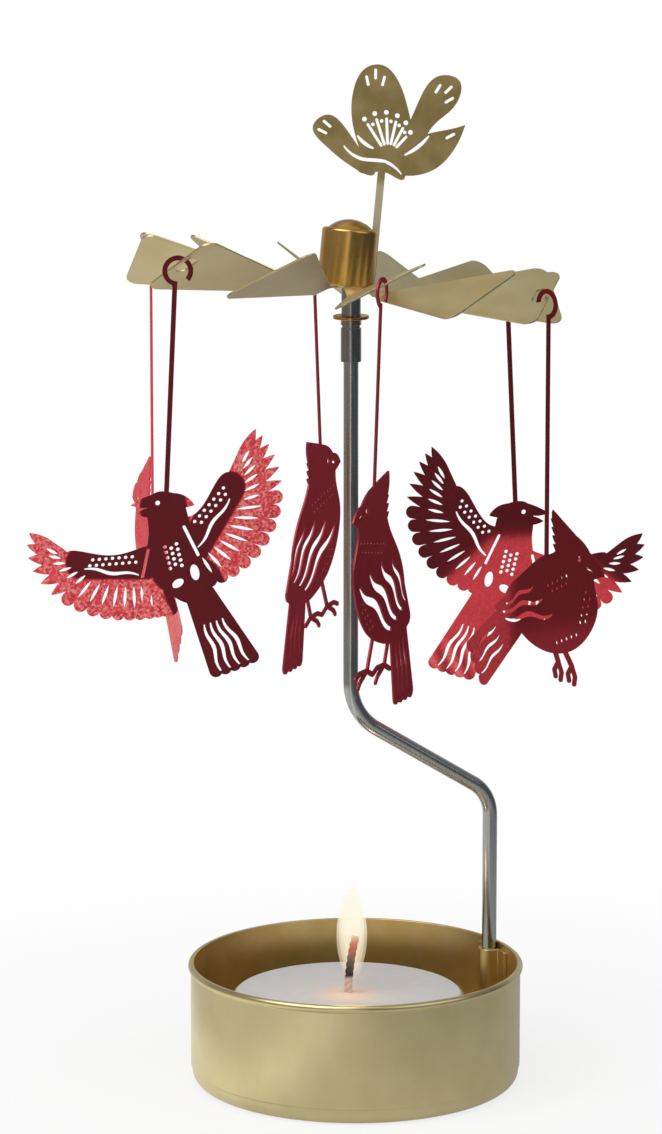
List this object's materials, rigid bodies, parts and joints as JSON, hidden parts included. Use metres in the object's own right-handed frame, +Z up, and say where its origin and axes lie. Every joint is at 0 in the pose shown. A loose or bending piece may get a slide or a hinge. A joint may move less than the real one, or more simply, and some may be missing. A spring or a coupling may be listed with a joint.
{
  "type": "rotary tealight holder",
  "caption": "Brass tealight cup with a bent steel stem; the flame's warm air turns a needle-mounted propeller with hanging sheet-metal birds under a flower finial.",
  "frame": {"origin": "middle of the cup's flat underside", "axes": "+Z up along the stem; -Y is the front of the picture, +X its right"},
  "size_m": [0.0996, 0.0899, 0.1658],
  "materials": {
    "satin_brass": "satin",
    "polished_brass": "polished",
    "sheet_brass": "satin",
    "stem_steel": "satin",
    "red_lacquer": "metallic lacquer",
    "tealight_aluminium": "bright",
    "white_wax": "waxy",
    "wick_cotton": "charred"
  },
  "bodies": {
    "holder": {"cup": "satin_brass", "stem_socket": "satin_brass", "stem_rod": "stem_steel", "ferrule": "stem_steel", "needle": "stem_steel", "washer": "polished_brass"},
    "rotor": {"pivot_cap": "polished_brass", "propeller": "sheet_brass", "flower": "sheet_brass"},
    "perched_bird_front": {"perched_bird_front": "red_lacquer"},
    "hopping_bird_right": {"hopping_bird_right": "red_lacquer"},
    "flying_bird_right": {"flying_bird_right": "red_lacquer"},
    "perched_bird_back": {"perched_bird_back": "red_lacquer"},
    "hopping_bird_left": {"hopping_bird_left": "red_lacquer"},
    "flying_bird_left": {"flying_bird_left": "red_lacquer"},
    "tealight": {"tealight_cup": "tealight_aluminium", "wax": "white_wax", "wick": "wick_cotton", "wick_sustainer": "tealight_aluminium"}
  },
  "joints": [
    {"name": "rotor_spin", "type": "hinge", "parent": "holder", "child": "rotor", "pos_m": [-0.0008, 0, 0.14105], "axis": [0, 0, 1], "continuous": true},
    {"name": "perched_bird_front_swing", "type": "hinge", "parent": "rotor", "child": "perched_bird_front", "pos_m": [0.00377, -0.0341, 0.13442], "axis": [-0.933, 0.36, 0], "range_deg": [-15, 15]},
    {"name": "hopping_bird_right_swing", "type": "hinge", "parent": "rotor", "child": "hopping_bird_right", "pos_m": [0.02986, -0.01309, 0.12989], "axis": [-0.7782, -0.628, 0], "range_deg": [-15, 15]},
    {"name": "flying_bird_right_swing", "type": "hinge", "parent": "rotor", "child": "flying_bird_right", "pos_m": [0.0245, 0.02017, 0.12718], "axis": [0.1547, -0.988, 0], "range_deg": [-15, 15]},
    {"name": "perched_bird_back_swing", "type": "hinge", "parent": "rotor", "child": "perched_bird_back", "pos_m": [-0.00696, 0.03242, 0.12898], "axis": [0.933, -0.36, 0], "range_deg": [-15, 15]},
    {"name": "hopping_bird_left_swing", "type": "hinge", "parent": "rotor", "child": "hopping_bird_left", "pos_m": [-0.03305, 0.01142, 0.13387], "axis": [0.9617, 0.274, 0], "range_deg": [-15, 15]},
    {"name": "flying_bird_left_swing", "type": "hinge", "parent": "rotor", "child": "flying_bird_left", "pos_m": [-0.02769, -0.02184, 0.13622], "axis": [-0.1547, 0.988, 0], "range_deg": [-15, 15]},
    {"name": "tealight_lift", "type": "slide", "parent": "holder", "child": "tealight", "axis": [0, 0, 1], "range_m": [0, 0.025]}
  ]
}
